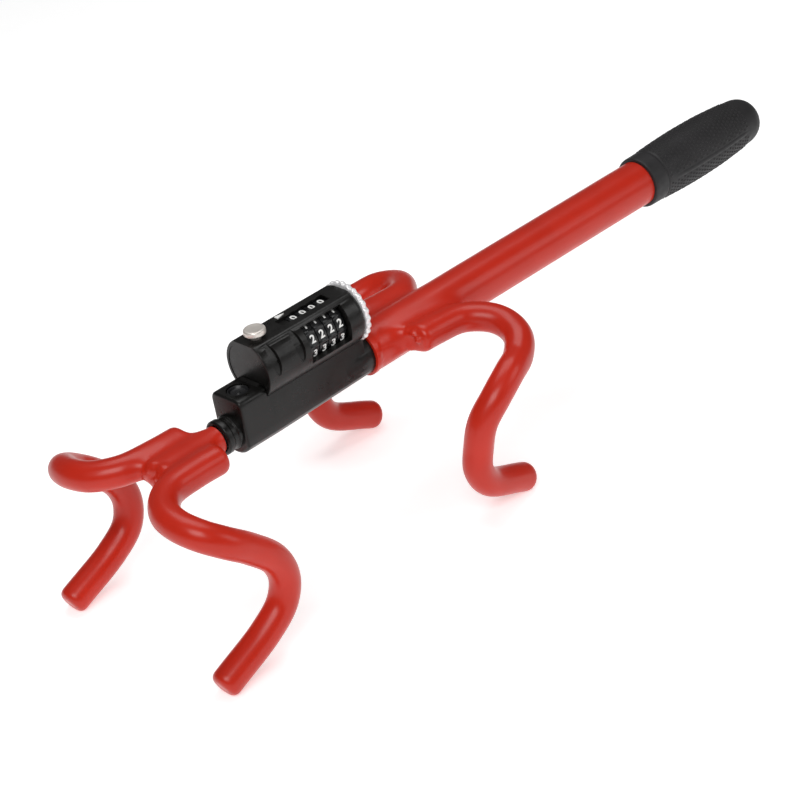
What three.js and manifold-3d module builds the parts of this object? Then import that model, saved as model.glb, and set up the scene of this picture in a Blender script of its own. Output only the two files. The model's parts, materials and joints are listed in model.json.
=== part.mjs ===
// Steering wheel lock: a hooked rod slides in a hooked tube, a four-dial head locks it, and a
// rubber grip ends the tube. Pieces are modelled in bar coordinates (millimetres): X runs along
// the tube towards the grip, Z is up and Z = 0 is the tube's axis. The finished group is then
// moved so that the middle of its footprint is the origin and its four feet stand on Z = 0.
import * as THREE from 'three';
import { mergeVertices } from 'three/addons/utils/BufferGeometryUtils.js';
import Module from 'manifold-3d';

const wasm = await Module();
wasm.setup();

// ---- Driving dimensions ----

const GAP = 0.3; // between pieces that touch or are welded together

const TUBE = { radius: 15.9, bore: 14.3, front: 60, rear: 428, lipRadius: 16.3, lipLength: 4 };
const GRIP = { front: 327.5, rear: 452.6, bore: 16.2, mouthRadius: 18.2, bellyRadius: 19.7 };
const END_PLUG = { front: 408, radius: 14, wall: 2 };

const HOOK = { radius: 9.4, sides: 12, steps: 32 };
// Centreline of the +Y hook of each pair: beside the bar, round the rim pocket, out to the foot.
const FRONT_ROUTE = [
  [-74.6, 18.8, 0.5], [-94.3, 18.9, 1], [-117.5, 22.3, 1.2], [-131.6, 35.6, 0],
  [-135, 50.2, -1.4], [-131.2, 65.6, -5.2], [-120.8, 73.6, -13.2], [-106.2, 75.4, -25.2],
  [-91.2, 76.4, -41.4], [-86.8, 76, -57.4], [-91.9, 75.2, -72.7], [-107.9, 75, -84.9],
  [-139.5, 75, -99],
];
const REAR_ROUTE = [
  [87.3, 26.8, 4.1], [102.6, 26.6, 3.2], [124, 28.9, 1.8], [137, 41.6, -0.8], [140, 53.8, -4.2],
  [135.4, 66.6, -8], [124.5, 75.4, -13], [108.7, 83.4, -14.8], [92.7, 85.6, -23.5],
  [81.4, 82.7, -37.4], [78, 76.4, -55.8], [75.5, 76.6, -70.2], [83.3, 75.3, -84],
  [113.7, 72.8, -99],
];
const BEAD = { radius: 2, sides: 8 };
const FRONT_BEAD = { from: -98, to: -75 };
const REAR_BEAD = { from: 88, to: 110 };

const TRAVEL = 144; // how far the rod pulls out
const GROOVE = { pitch: 9, depth: 2.8, top: 6.4, bottom: 4.2 };
const ROD = { radius: 7.6, front: -103, rear: 262, journal: 5.4, tapping: 2.2 };
const COAT = { radius: HOOK.radius, front: -107.5, rear: -61.2, bore: 7.9 };
const STOP = { radius: 9, length: 7, screwHead: 4.6, screwShank: 1.9 };

const BODY = {
  front: -49, rear: 53.7, halfWidth: 14, bottomRadius: 16, top: 23.8, chamfer: 2.8, bevel: 2.5,
  taperFrom: -20, rodBore: 8.1,
};
const NECK = { radius: 14.6, front: 30, rear: 59.7 };
const SPIGOT = { radius: 13.9, rear: 98 };
const FERRULE = { front: -60.5, rear: -27, radius: 11.6, seat: 10, bore: 7.95 };
const REAR_BUSH = { rear: 110.3, radius: 14, bore: 7.95 };
const LEDGE = { x: -38.3, recess: 7.4, depth: 4, plug: 7, screw: 2.4 };
const CROSS_PIN = { x: 76, z: 9.9, radius: 1.5, halfLength: 11 };
const DOWEL = { x: 1, y: 10.5, radius: 1.5, bottom: 6, top: 21 };

const DIAL = { z: 32.3, first: 13.9, pitch: 7.63, width: 7.2, count: 4, digits: 10 };
const WHEEL = { flat: 15.4, ridge: 16.2, bore: 9.3 };
const SLEEVE = { radius: 9, bore: 3.9, width: 7, gate: 3 };
const HOUSING = { front: -27.6, rear: 53.7, radius: 20.1, flatTop: 49.8, frontBevel: 1, rearBevel: 2.4 };
const CAVITY = { front: 9.7, radius: 16.6 };
const SLOT = { front: 2, rear: 41.2, halfWidth: 4.3, shallowFloor: 47.6 };
const WINDOW = { front: 7.6, rear: 41.2, from: 39, to: 106, inner: 13 }; // degrees from the top
const GRIP_GROOVES = { xs: [-18.6, 1.2], width: 4.5, depth: 1, from: 35, to: 95 };
const ARROW = { tail: 5.4, tip: 12.2, y: 6.5, halfWidth: 1.9, height: 0.4 };
const DETENT = { halfWidth: 3, floor: 14.3, leafBottom: 14.7, leafTop: 15.3 };
const END_PLATE = { front: 41.2, rear: 53.3, radius: 16.3 };
const SPINDLE = { front: 5, rear: 53.7, radius: 3.5, tapping: 1.8 };
const RING = { front: 54, rear: 57.8, crest: 20.9, root: 19.8, lobes: 24 };
const RING_SCREW = { head: 4, headLength: 2.4, shank: 1.5, front: 43 };

const BOLT = { x: -17, tip: 8.1, radius: 3, tipRadius: 1.7, taper: 2.5, collar: 5.2 };
const COLLAR = { bottom: 34.2, top: 37.4 };
const KNOB = { stem: 3.5, stemBottom: 37.7, underside: 52.2, top: 56.2, radius: 7.1 };
const CHAMBER = { radius: 5.7, top: 37.7 };
const SPRING = { coil: 4.5, wire: 0.5, bottom: 13.7, top: 33.4, turns: 6, stepsPerTurn: 10 };

const RELIEF = 60; // length of a cutter that runs right through a piece

// ---- Materials ----

function material(color, roughness, metalness) {
  return () => new THREE.MeshStandardMaterial({ color, roughness, metalness });
}
const redPaint = material('#c8281e', 0.28, 0);
const redVinyl = material('#cb2a1f', 0.22, 0);
const blackPaint = material('#17171a', 0.3, 0);
const blackPlastic = material('#121214', 0.35, 0);
const rubber = material('#26262a', 0.75, 0);
const steel = material('#9a9ca0', 0.35, 1);
const chrome = material('#d8d6d4', 0.12, 1);
const brass = material('#b08d4a', 0.35, 1);
const nylon = material('#cfccc2', 0.6, 0);
const whiteMark = material('#f2f2f0', 0.5, 0);

// ---- Geometry helpers ----

// A closed geometry as a solid that can be joined and cut.
function solid(geometry) {
  geometry.deleteAttribute('normal');
  geometry.deleteAttribute('uv');
  const merged = mergeVertices(geometry, 1e-4);
  const corners = merged.index.array;
  const triangles = [];
  for (let i = 0; i < corners.length; i += 3) {
    const [a, b, c] = corners.slice(i, i + 3);
    if (a !== b && b !== c && c !== a) triangles.push(a, b, c);
  }
  return new wasm.Manifold(new wasm.Mesh({
    numProp: 3,
    vertProperties: new Float32Array(merged.attributes.position.array),
    triVerts: new Uint32Array(triangles),
  }));
}

function cut(first, ...cutters) {
  return cutters.reduce((whole, cutter) => whole.subtract(cutter), first);
}

function piece(name, shape, newMaterial, position = [0, 0, 0]) {
  const { vertProperties, triVerts } = shape.getMesh();
  const geometry = new THREE.BufferGeometry();
  geometry.setAttribute('position', new THREE.BufferAttribute(vertProperties, 3));
  geometry.setIndex(new THREE.BufferAttribute(triVerts, 1));
  geometry.computeVertexNormals();
  const mesh = new THREE.Mesh(geometry, newMaterial());
  mesh.name = name;
  mesh.position.set(...position);
  return mesh;
}

// Outlines of turned pieces are [station, radius] pairs, running up the outside.
function lathe(outline, segments) {
  const points = outline.map(([station, radius]) => new THREE.Vector2(radius, station));
  return new THREE.LatheGeometry(points, segments);
}

function turned(outline, segments = 24) {
  return solid(lathe(outline, segments).rotateZ(-Math.PI / 2));
}

function turnedUpright(outline, segments = 16) {
  return solid(lathe(outline, segments).rotateX(Math.PI / 2));
}

// A ring outline from an inner and an outer radius.
function ringOutline(from, to, inner, outer) {
  return [[from, inner], [from, outer], [to, outer], [to, inner], [from, inner]];
}

function rod(from, to, radius, segments = 24) {
  return turned([[from, 0], [from, radius], [to, radius], [to, 0]], segments);
}

function uprightRod(bottom, top, radius, segments = 12) {
  return turnedUpright([[bottom, 0], [bottom, radius], [top, radius], [top, 0]], segments);
}

function box([x0, y0, z0], [x1, y1, z1]) {
  const geometry = new THREE.BoxGeometry(x1 - x0, y1 - y0, z1 - z0);
  return solid(geometry.translate((x0 + x1) / 2, (y0 + y1) / 2, (z0 + z1) / 2));
}

// A Y-Z outline pushed along X.
function alongX(shape, from, to, options = {}) {
  const geometry = new THREE.ExtrudeGeometry(shape, {
    depth: to - from, bevelEnabled: false, curveSegments: 10, ...options,
  });
  const basis = new THREE.Matrix4().makeBasis(
    new THREE.Vector3(0, 1, 0), new THREE.Vector3(0, 0, 1), new THREE.Vector3(1, 0, 0),
  );
  return geometry.applyMatrix4(basis).translate(from, 0, 0);
}

function polar(radius, angle) {
  return new THREE.Vector2(radius * Math.cos(angle), radius * Math.sin(angle));
}

function polygon(radius, sides) {
  const corners = Array.from({ length: sides }, (_, i) => polar(radius, (2 * Math.PI * i) / sides));
  return new THREE.Shape(corners);
}

function sweep(path, radius, sides, steps) {
  const geometry = new THREE.ExtrudeGeometry(polygon(radius, sides), {
    steps, extrudePath: path, bevelEnabled: false,
  });
  return solid(geometry);
}

// A block between two radii over an arc, on one side of the dial axis. Angles are from the top.
function arcBlock(front, rear, inner, outer, from, to, side) {
  const start = Math.PI / 2 + side * THREE.MathUtils.degToRad(from);
  const end = Math.PI / 2 + side * THREE.MathUtils.degToRad(to);
  const shape = new THREE.Shape();
  shape.absarc(0, 0, outer, start, end, side < 0);
  shape.absarc(0, 0, inner, end, start, side > 0);
  shape.closePath();
  return solid(alongX(shape, front, rear)).translate([0, 0, DIAL.z]);
}

// ---- Tube, grip and end plug ----

function mainTube() {
  const { radius, bore, front, rear, lipRadius, lipLength } = TUBE;
  const tube = turned([
    [front, bore], [front, lipRadius - 1], [front + 1, lipRadius],
    [front + lipLength - 1.5, lipRadius], [front + lipLength + 0.5, radius],
    [rear, radius], [rear, bore], [front, bore],
  ], 32);
  return cut(tube, crossPin(CROSS_PIN.radius + GAP, RELIEF));
}

function rubberGrip() {
  const { front, rear, bore, mouthRadius, bellyRadius } = GRIP;
  const blind = TUBE.rear + GAP;
  return turned([
    [front, bore], [front, mouthRadius - 0.6], [front + 1, mouthRadius],
    [front + 14, mouthRadius + 0.1], [front + 27, bellyRadius - 0.65], [front + 50, bellyRadius],
    [front + 78, bellyRadius - 0.5], [rear - 36, bellyRadius - 1.4], [rear - 22, bellyRadius - 2.4],
    [rear - 14, bellyRadius - 3.2], [rear - 9, bellyRadius - 5], [rear - 4.8, bellyRadius - 8],
    [rear - 2.2, bellyRadius - 11.6], [rear - 0.6, bellyRadius - 15.8],
    [rear, 0], [blind, 0], [blind, bore], [front, bore],
  ], 28);
}

function tubeEndPlug() {
  const { front, radius, wall } = END_PLUG;
  const rear = TUBE.rear - GAP;
  return turned([
    [front, radius - wall], [front, radius], [rear, radius], [rear, 0],
    [rear - wall, 0], [rear - wall, radius - wall], [front, radius - wall],
  ], 20);
}

// ---- Hooks and their welds ----

function hook(route, side) {
  const points = route.map(([x, y, z]) => new THREE.Vector3(x, side * y, z));
  const path = new THREE.CatmullRomCurve3(points, false, 'centripetal');
  const bar = sweep(path, HOOK.radius, HOOK.sides, HOOK.steps);
  const tip = new THREE.SphereGeometry(HOOK.radius, HOOK.sides, 8).rotateX(Math.PI / 2);
  return bar.add(solid(tip.translate(...points.at(-1).toArray())));
}

// The centre of a bead on top of the notch between a hook and the round bar beside it, in Y and Z.
function notchCentre(barRadius, [, hookY, hookZ]) {
  const reach = barRadius + BEAD.radius + GAP;
  const hookReach = HOOK.radius + BEAD.radius + GAP;
  const across = new THREE.Vector2(hookY, hookZ);
  const distance = across.length();
  const along = (reach ** 2 - hookReach ** 2 + distance ** 2) / (2 * distance);
  const rise = Math.sqrt(reach ** 2 - along ** 2);
  const unit = across.normalize();
  return [unit.x * along - unit.y * rise, unit.y * along + unit.x * rise];
}

function weldBead({ from, to }, [y, z], side) {
  const length = to - from - 2 * BEAD.radius;
  const bead = new THREE.CapsuleGeometry(BEAD.radius, length, 2, BEAD.sides).rotateZ(Math.PI / 2);
  return solid(bead.translate((from + to) / 2, side * y, z));
}

function hookPair(place, route, beadSpan, notch) {
  return [['left', 1], ['right', -1]].flatMap(([hand, side]) => [
    piece(`${place}_hook_${hand}`, hook(route, side), redVinyl),
    piece(`${place}_weld_${hand}`, weldBead(beadSpan, notch, side), redVinyl),
  ]);
}

// ---- Sliding rod ----

function grooveOutline(index) {
  const centre = BOLT.x + index * GROOVE.pitch;
  const root = ROD.radius - GROOVE.depth;
  return [
    [centre - GROOVE.top / 2, ROD.radius], [centre - GROOVE.bottom / 2, root],
    [centre + GROOVE.bottom / 2, root], [centre + GROOVE.top / 2, ROD.radius],
  ];
}

function slideRod() {
  const { radius, front, rear, journal, tapping } = ROD;
  const grooves = Array.from({ length: TRAVEL / GROOVE.pitch + 1 }, (_, i) => grooveOutline(i));
  const journalFront = rear - STOP.length - GAP;
  const blind = rear - 14;
  return turned([
    [front, 0], [front, radius - 1], [front + 1, radius], ...grooves.flat(),
    [journalFront, radius], [journalFront, journal], [rear, journal],
    [rear, tapping], [blind, tapping], [blind, 0],
  ], 16);
}

function rodVinylSleeve() {
  const { radius, front, rear, bore } = COAT;
  const inside = ROD.front - GAP;
  return turned([
    [front, 0], [front + 0.6, radius * 0.5], [front + 2.2, radius * 0.83], [front + 4.6, radius],
    [rear, radius], [rear, bore], [inside, bore], [inside, 0],
  ], 20);
}

function rodStopCollar() {
  const rear = ROD.rear - GAP;
  return turned(ringOutline(rear - STOP.length, rear, ROD.journal + GAP, STOP.radius), 20);
}

function rodStopScrew() {
  const face = ROD.rear + GAP;
  const head = rod(face, face + 3.6, STOP.screwHead, 6);
  return head.add(rod(ROD.rear - 12, face + 1, STOP.screwShank, 10));
}

// ---- Lock body and its bushes ----

function bodySection() {
  const { halfWidth, bottomRadius, top, chamfer, bevel } = BODY;
  const inset = halfWidth - bevel;
  const radius = bottomRadius - bevel;
  const spread = Math.acos(inset / radius);
  const ceiling = top - bevel;
  const shape = new THREE.Shape();
  shape.absarc(0, 0, radius, Math.PI + spread, 2 * Math.PI - spread, false);
  shape.lineTo(inset, ceiling - chamfer);
  shape.lineTo(inset - chamfer, ceiling);
  shape.lineTo(chamfer - inset, ceiling);
  shape.lineTo(-inset, ceiling - chamfer);
  shape.closePath();
  return shape;
}

// The casting's D-shaped length, narrowed to the neck's size by scaling each section.
function taperedBlock() {
  const { front, rear, bevel, taperFrom, bottomRadius } = BODY;
  const geometry = alongX(bodySection(), front + bevel, rear - bevel, {
    steps: 8, bevelEnabled: true, bevelSize: bevel, bevelThickness: bevel, bevelSegments: 2,
  });
  const narrowing = 1 - NECK.radius / bottomRadius;
  const position = geometry.attributes.position;
  for (let i = 0; i < position.count; i += 1) {
    const progress = THREE.MathUtils.clamp((position.getX(i) - taperFrom) / (rear - taperFrom), 0, 1);
    const scale = 1 - narrowing * progress;
    position.setXYZ(i, position.getX(i), position.getY(i) * scale, position.getZ(i) * scale);
  }
  return solid(geometry);
}

function crossPin(radius, halfLength) {
  const pin = new THREE.CylinderGeometry(radius, radius, 2 * halfLength, 10);
  return solid(pin.translate(CROSS_PIN.x, 0, CROSS_PIN.z));
}

function ledgeBores() {
  const floor = BODY.top - LEDGE.depth;
  const recess = uprightRod(floor, BODY.top + 1, LEDGE.recess, 20);
  const screwBore = uprightRod(0, floor + 1, LEDGE.screw + GAP);
  return recess.add(screwBore).translate([LEDGE.x, 0, 0]);
}

function dowel(side, radius, bottom, top) {
  return uprightRod(bottom, top, radius, 8).translate([DOWEL.x, side * DOWEL.y, 0]);
}

function dowelBores() {
  const bore = DOWEL.radius + GAP;
  const [bottom, top] = [DOWEL.bottom - GAP, DOWEL.top + GAP];
  return dowel(1, bore, bottom, top).add(dowel(-1, bore, bottom, top));
}

function lockBody() {
  const { rodBore, front } = BODY;
  const neck = rod(NECK.front, NECK.rear, NECK.radius, 28);
  const spigot = rod(NECK.rear - 1, SPIGOT.rear, SPIGOT.radius, 28);
  const rodHole = rod(front - 1, SPIGOT.rear + 1, rodBore, 20);
  const ferruleHole = rod(front - 1, FERRULE.rear + GAP, FERRULE.seat + GAP, 20);
  const cradle = rod(HOUSING.front - GAP, RING.rear, HOUSING.radius + GAP, 32);
  const ringRelief = rod(HOUSING.rear, RING.rear + GAP, RING.crest + 2 * GAP, 32);
  const boltHole = uprightRod(0, BODY.top, BOLT.radius + GAP).translate([BOLT.x, 0, 0]);
  return cut(
    taperedBlock().add(neck).add(spigot),
    rodHole,
    ferruleHole,
    cradle.translate([0, 0, DIAL.z]),
    ringRelief.translate([0, 0, DIAL.z]),
    boltHole,
    ledgeBores(),
    dowelBores(),
    crossPin(CROSS_PIN.radius + GAP, RELIEF),
  );
}

function guideFerrule() {
  const { front, rear, radius, seat, bore } = FERRULE;
  const face = BODY.front - GAP;
  return turned([
    [front, bore], [front, radius - 1], [front + 0.8, radius], [face, radius],
    [face, seat], [rear, seat], [rear, bore], [front, bore],
  ], 24);
}

function ferruleGrubScrew() {
  const bottom = FERRULE.seat + GAP;
  const top = BODY.top - LEDGE.depth - 1;
  const socket = uprightRod(top - 3, top + 1, LEDGE.screw / 2, 6);
  return cut(uprightRod(bottom, top, LEDGE.screw, 12), socket);
}

function ledgePlug() {
  const floor = BODY.top - LEDGE.depth + GAP;
  const { plug } = LEDGE;
  return turnedUpright([
    [floor, 0], [floor, plug], [floor + 1.6, plug], [floor + 2.4, plug - 1.2],
    [floor + 2.7, 0],
  ], 20);
}

function rearGuideBush() {
  const bush = rod(SPIGOT.rear + GAP, REAR_BUSH.rear, REAR_BUSH.radius, 24);
  const hole = rod(SPIGOT.rear, REAR_BUSH.rear + 1, REAR_BUSH.bore, 20);
  return cut(bush, hole);
}

// ---- Dial head ----

function housingShell() {
  const { front, rear, radius, frontBevel, rearBevel } = HOUSING;
  return turned([
    [front, 0], [front, radius - frontBevel], [front + frontBevel, radius],
    [rear - rearBevel, radius], [rear, radius - rearBevel / 2], [rear, 0],
  ], 32).translate([0, 0, DIAL.z]);
}

function dialHousing() {
  const { front, rear, radius, flatTop } = HOUSING;
  const above = box([front - 1, -radius, flatTop], [rear + 1, radius, flatTop + radius]);
  const cavity = rod(CAVITY.front, rear + 1, CAVITY.radius, 32).translate([0, 0, DIAL.z]);
  const journal = rod(SPINDLE.front - GAP, rear, SPINDLE.radius + 0.4, 12);
  const slotRunIn = box(
    [SLOT.front, -SLOT.halfWidth, SLOT.shallowFloor], [SLOT.rear, SLOT.halfWidth, flatTop + 1],
  );
  const slot = box([CAVITY.front, -SLOT.halfWidth, DIAL.z], [SLOT.rear, SLOT.halfWidth, flatTop + 1]);
  const outside = radius + 4;
  const sideWindow = arcBlock(
    WINDOW.front, WINDOW.rear, WINDOW.inner, outside, WINDOW.from, WINDOW.to, -1,
  );
  const grooves = GRIP_GROOVES.xs.flatMap((x) => [-1, 1].map((side) => arcBlock(
    x - GRIP_GROOVES.width / 2, x + GRIP_GROOVES.width / 2,
    radius - GRIP_GROOVES.depth, outside, GRIP_GROOVES.from, GRIP_GROOVES.to, side,
  )));
  const detentPocket = box(
    [CAVITY.front, -DETENT.halfWidth - GAP, DETENT.floor],
    [END_PLATE.front, DETENT.halfWidth + GAP, DIAL.z],
  );
  const chamber = uprightRod(0, CHAMBER.top, CHAMBER.radius, 16).translate([BOLT.x, 0, 0]);
  const stemHole = uprightRod(0, flatTop + 1, KNOB.stem + GAP, 16).translate([BOLT.x, 0, 0]);
  return cut(
    housingShell(), above, cavity, journal.translate([0, 0, DIAL.z]), slotRunIn, slot,
    sideWindow, ...grooves, detentPocket, chamber, stemHole, dowelBores(),
  );
}

function dialEndPlate() {
  const outline = ringOutline(END_PLATE.front, END_PLATE.rear, SPINDLE.radius + 0.4, END_PLATE.radius);
  return turned(outline, 24);
}

// One finger presses on each dial wheel from below.
function detentSpring() {
  const { halfWidth, leafBottom, leafTop } = DETENT;
  const start = CAVITY.front + GAP;
  const end = END_PLATE.front - GAP;
  const strip = box([start, -halfWidth, leafBottom], [end, halfWidth, leafTop]);
  const slits = [];
  for (let i = 1; i < DIAL.count; i += 1) {
    const x = DIAL.first + (i - 0.5) * DIAL.pitch;
    slits.push(box([x - 0.6, -halfWidth + 1.8, leafBottom - 1], [x + 0.6, halfWidth + 1, leafTop + 1]));
  }
  return cut(strip, ...slits);
}

function indexArrow() {
  const { tail, tip, y, halfWidth, height } = ARROW;
  const shape = new THREE.Shape();
  shape.moveTo(tail, y - halfWidth);
  shape.lineTo(tip, y);
  shape.lineTo(tail, y + halfWidth);
  shape.closePath();
  const arrow = new THREE.ExtrudeGeometry(shape, { depth: height, bevelEnabled: false });
  return solid(arrow.translate(0, 0, HOUSING.flatTop + GAP));
}

// Ten flats for the digits with a raised finger ridge between neighbours.
function dialWheel() {
  const step = (2 * Math.PI) / DIAL.digits;
  const corners = [];
  for (let digit = 0; digit < DIAL.digits; digit += 1) {
    const middle = Math.PI / 2 + digit * step;
    corners.push(polar(WHEEL.flat, middle - 0.36 * step), polar(WHEEL.flat, middle + 0.36 * step));
    corners.push(polar(WHEEL.ridge, middle + 0.44 * step), polar(WHEEL.ridge, middle + 0.56 * step));
  }
  const shape = new THREE.Shape(corners);
  shape.holes.push(new THREE.Path(polygon(WHEEL.bore, 20).getPoints().reverse()));
  return solid(alongX(shape, -DIAL.width / 2, DIAL.width / 2));
}

// The brass sleeve inside each wheel, with the gate that lines up when the code is set.
function codeSleeve() {
  const half = SLEEVE.width / 2;
  const sleeve = turned(ringOutline(-half, half, SLEEVE.bore, SLEEVE.radius), 20);
  const gate = box([-half - 1, -SLEEVE.gate / 2, SLEEVE.radius - 2.5], [half + 1, SLEEVE.gate / 2, RELIEF]);
  return cut(sleeve, gate);
}

function dial(number) {
  const place = [DIAL.first + (number - 1) * DIAL.pitch, 0, DIAL.z];
  return assembly(
    piece(`dial_wheel_${number}`, dialWheel(), blackPlastic, place),
    piece(`code_sleeve_${number}`, codeSleeve(), brass, place),
  );
}

// ---- Turn ring and spindle ----

function dialSpindle() {
  const { front, rear, radius, tapping } = SPINDLE;
  const blind = RING_SCREW.front - 1;
  return turned([
    [front, 0], [front, radius], [rear, radius], [rear, tapping], [blind, tapping], [blind, 0],
  ], 14);
}

function turnRing() {
  const corners = [];
  for (let lobe = 0; lobe < RING.lobes; lobe += 1) {
    const angle = (2 * Math.PI * lobe) / RING.lobes;
    const step = Math.PI / RING.lobes;
    corners.push(polar(RING.crest, angle), polar(RING.root, angle + step));
  }
  const shape = new THREE.Shape(corners);
  shape.holes.push(new THREE.Path(polygon(SPINDLE.tapping, 12).getPoints().reverse()));
  return solid(alongX(shape, RING.front, RING.rear));
}

function ringScrew() {
  const face = RING.rear + GAP;
  const head = rod(face, face + RING_SCREW.headLength, RING_SCREW.head, 14);
  return head.add(rod(RING_SCREW.front, face + 1, RING_SCREW.shank, 8));
}

// ---- Release knob and bolt ----

function releaseKnob() {
  const { stem, stemBottom, underside, top, radius } = KNOB;
  return turnedUpright([
    [stemBottom, 0], [stemBottom, stem], [underside, stem], [underside, radius - 0.5],
    [underside + 0.7, radius], [top - 0.9, radius], [top, radius - 0.9], [top, 0],
  ], 20);
}

function lockBolt() {
  const { tip, tipRadius, taper, radius, collar } = BOLT;
  return turnedUpright([
    [tip, 0], [tip, tipRadius], [tip + taper, radius], [COLLAR.bottom, radius],
    [COLLAR.bottom, collar], [COLLAR.top, collar], [COLLAR.top, 0],
  ], 14);
}

class Helix extends THREE.Curve {
  getPoint(t, target = new THREE.Vector3()) {
    const angle = 2 * Math.PI * SPRING.turns * t;
    const height = THREE.MathUtils.lerp(SPRING.bottom, SPRING.top, t);
    return target.set(SPRING.coil * Math.cos(angle), SPRING.coil * Math.sin(angle), height);
  }
}

function boltSpring() {
  return sweep(new Helix(), SPRING.wire, 5, SPRING.turns * SPRING.stepsPerTurn);
}

// ---- Assemblies, one for each piece that moves as a whole ----

function assembly(...members) {
  const group = new THREE.Group();
  group.add(...members);
  return group;
}

function lockFrame() {
  const pin = crossPin(CROSS_PIN.radius, CROSS_PIN.halfLength);
  return assembly(
    piece('main_tube', mainTube(), redPaint),
    piece('rubber_grip', rubberGrip(), rubber),
    piece('tube_end_plug', tubeEndPlug(), blackPlastic),
    ...hookPair('rear', REAR_ROUTE, REAR_BEAD, notchCentre(TUBE.radius, REAR_ROUTE[0])),
    piece('lock_body', lockBody(), blackPaint),
    piece('body_cross_pin', pin, steel),
    piece('guide_ferrule', guideFerrule(), blackPaint),
    piece('ferrule_grub_screw', ferruleGrubScrew(), steel, [LEDGE.x, 0, 0]),
    piece('ledge_plug', ledgePlug(), blackPlastic, [LEDGE.x, 0, 0]),
    piece('rear_guide_bush', rearGuideBush(), nylon),
    piece('dial_housing', dialHousing(), blackPaint),
    piece('housing_dowel_left', dowel(1, DOWEL.radius, DOWEL.bottom, DOWEL.top), steel),
    piece('housing_dowel_right', dowel(-1, DOWEL.radius, DOWEL.bottom, DOWEL.top), steel),
    piece('dial_end_plate', dialEndPlate(), blackPlastic, [0, 0, DIAL.z]),
    piece('dial_detent_spring', detentSpring(), steel),
    piece('index_arrow', indexArrow(), whiteMark),
    piece('bolt_spring', boltSpring(), steel, [BOLT.x, 0, 0]),
  );
}

function slidingRod() {
  return assembly(
    piece('slide_rod', slideRod(), steel),
    piece('rod_vinyl_sleeve', rodVinylSleeve(), redVinyl),
    piece('rod_stop_collar', rodStopCollar(), steel),
    piece('rod_stop_screw', rodStopScrew(), steel),
    ...hookPair('front', FRONT_ROUTE, FRONT_BEAD, notchCentre(COAT.radius, FRONT_ROUTE[0])),
  );
}

function releaseAssembly() {
  return assembly(
    piece('release_knob', releaseKnob(), chrome, [BOLT.x, 0, 0]),
    piece('lock_bolt', lockBolt(), steel, [BOLT.x, 0, 0]),
  );
}

function turnRingAssembly() {
  const place = [0, 0, DIAL.z];
  return assembly(
    piece('turn_ring', turnRing(), chrome, place),
    piece('dial_spindle', dialSpindle(), steel, place),
    piece('ring_screw', ringScrew(), steel, place),
  );
}

function standOnFeet(group) {
  const bounds = new THREE.Box3().setFromObject(group, true);
  const middle = bounds.getCenter(new THREE.Vector3());
  group.position.set(-middle.x, 0, -bounds.min.z);
  return group;
}

const dials = Array.from({ length: DIAL.count }, (_, i) => dial(i + 1));

export default standOnFeet(assembly(
  lockFrame(), slidingRod(), releaseAssembly(), ...dials, turnRingAssembly(),
));
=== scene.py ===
# Looks of the steering wheel lock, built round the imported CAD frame.
# Millimetre numbers are in bar coordinates: X along the tube, Z = 0 on the tube's axis.
# The near side is -Y, and angles about the dial axis are measured from the top.
import json
import math

import bmesh
import bpy
import numpy as np
from mathutils import Matrix, Vector


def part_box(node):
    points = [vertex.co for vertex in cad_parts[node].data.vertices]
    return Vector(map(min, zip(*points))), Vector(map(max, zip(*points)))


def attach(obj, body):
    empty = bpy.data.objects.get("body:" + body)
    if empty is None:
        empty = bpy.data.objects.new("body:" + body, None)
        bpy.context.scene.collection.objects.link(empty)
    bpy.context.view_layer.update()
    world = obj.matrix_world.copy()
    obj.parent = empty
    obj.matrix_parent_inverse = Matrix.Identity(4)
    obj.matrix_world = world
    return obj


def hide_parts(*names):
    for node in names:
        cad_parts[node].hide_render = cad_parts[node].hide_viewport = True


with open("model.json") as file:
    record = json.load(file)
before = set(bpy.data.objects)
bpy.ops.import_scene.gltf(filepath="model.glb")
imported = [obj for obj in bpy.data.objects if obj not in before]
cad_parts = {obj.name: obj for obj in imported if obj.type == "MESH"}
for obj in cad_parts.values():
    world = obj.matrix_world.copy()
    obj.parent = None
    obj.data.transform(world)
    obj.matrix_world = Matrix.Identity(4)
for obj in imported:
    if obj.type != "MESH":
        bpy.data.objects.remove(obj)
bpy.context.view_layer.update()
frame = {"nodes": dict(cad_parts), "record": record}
NODES = frame["nodes"]

MM = 0.001
TUBE_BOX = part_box("main_tube")
TUBE_FRONT = 60.0
TUBE_RADIUS = 15.9
ORIGIN = Vector((
    TUBE_BOX[0].x - TUBE_FRONT * MM, 0.0, (TUBE_BOX[0].z + TUBE_BOX[1].z) / 2,
))
DIAL_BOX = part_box("dial_wheel_1")
DIAL_Z = ((DIAL_BOX[0].z + DIAL_BOX[1].z) / 2 - ORIGIN.z) / MM


HOUSING_RADIUS = 20.1
CAVITY_FRONT, CAVITY_REAR, CAVITY_RADIUS = 9.7, 41.2, 16.7
WINDOW_FRONT, WINDOW_START, WINDOW_END = 7.6, 39, 114.5
SLOT_FRONT, SLOT_HALF_WIDTH = 2.0, 4.3
KNOB_X, KNOB_UNDERSIDE, KNOB_HOLE_RADIUS = -17, 52.2, 4.2
DIAL_FLAT, DIAL_RIDGE, DIGIT_RADIUS = 15.75, 16.35, 15.82
DIGITS = 10

BODY_FRONT, BODY_REAR, BODY_TOP = -49.0, 53.7, 23.8
BODY_HALF_WIDTH, BODY_BELLY_RADIUS, BODY_TAPER_FROM = 14.0, 16.0, -20.0
NECK_RADIUS, NECK_REAR = 14.6, 59.7
SPIGOT_RADIUS, SPIGOT_REAR = 13.9, 98
LEDGE_X, LEDGE_RECESS_RADIUS, LEDGE_RECESS_FLOOR = -38.3, 7.4, 19.8


def place(x, y, z):
    """A point in bar millimetres as a point of the frame, in metres."""
    return Vector((x, y, z)) * MM + ORIGIN


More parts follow.
